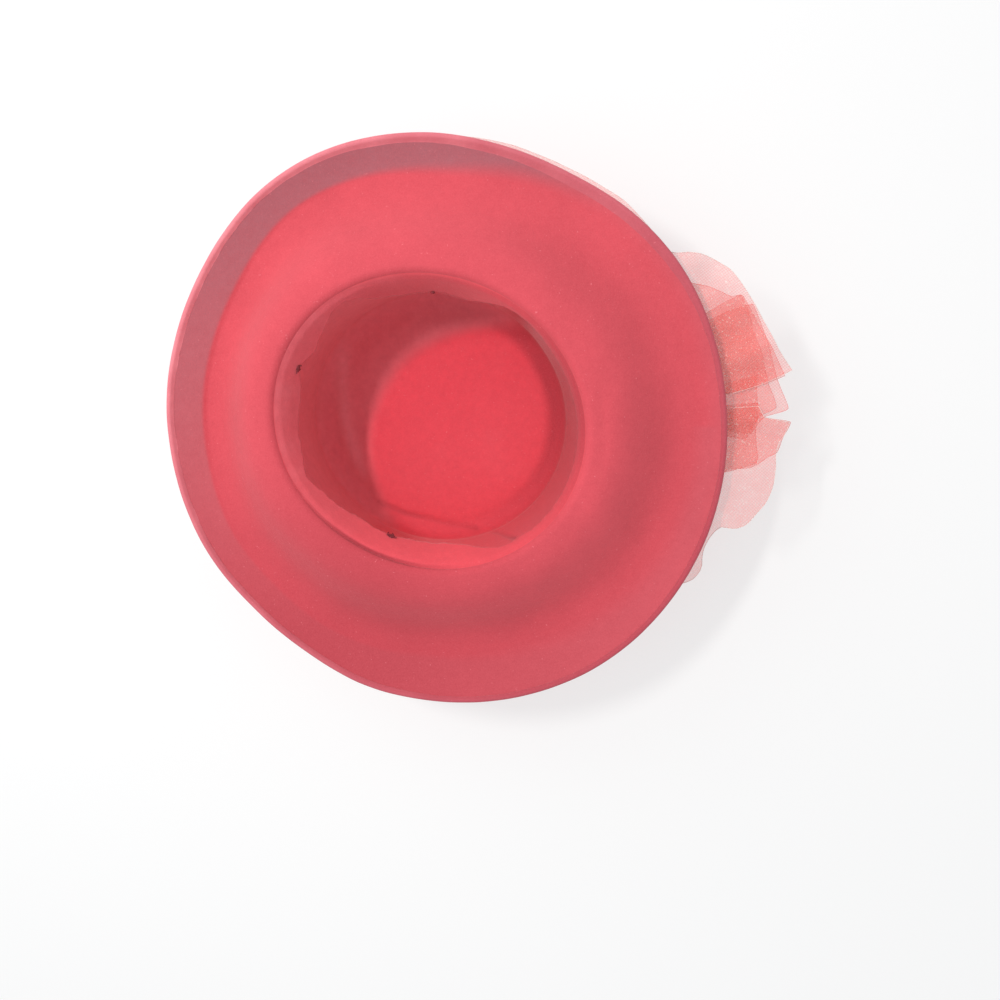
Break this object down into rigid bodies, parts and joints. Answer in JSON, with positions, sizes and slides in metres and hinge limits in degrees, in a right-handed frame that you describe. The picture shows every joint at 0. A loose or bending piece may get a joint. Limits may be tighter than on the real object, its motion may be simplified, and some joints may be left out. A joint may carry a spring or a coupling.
{
  "type": "wide-brim hat",
  "caption": "Felt hat with a wide dished brim, rolled edge and open head hollow, and a fan of gathered organza at the crown's side, lying on its crown.",
  "frame": {"origin": "point of the crown tip's flat outer face that lies under the middle of the head opening", "axes": "+Z from the crown's tip up through the open head opening, +X towards the organza frill"},
  "size_m": [0.3838, 0.3465, 0.1],
  "materials": {
    "felt": "matt coral-red wool felt with a short soft nap",
    "felt_edge": "the same felt rolled over the rim, a little lighter where it is worn",
    "felt_strip": "thin felt with a raw, hand-cut edge",
    "organza": "sheer pink organza with a fine open weave and a slight sparkle"
  },
  "bodies": {
    "root": {"crown": "felt", "brim": "felt", "edge_roll": "felt_edge", "head_strip": "felt_strip", "frill_knot": "organza", "frill_inner_layer": "organza", "frill_outer_layer": "organza"}
  },
  "joints": []
}
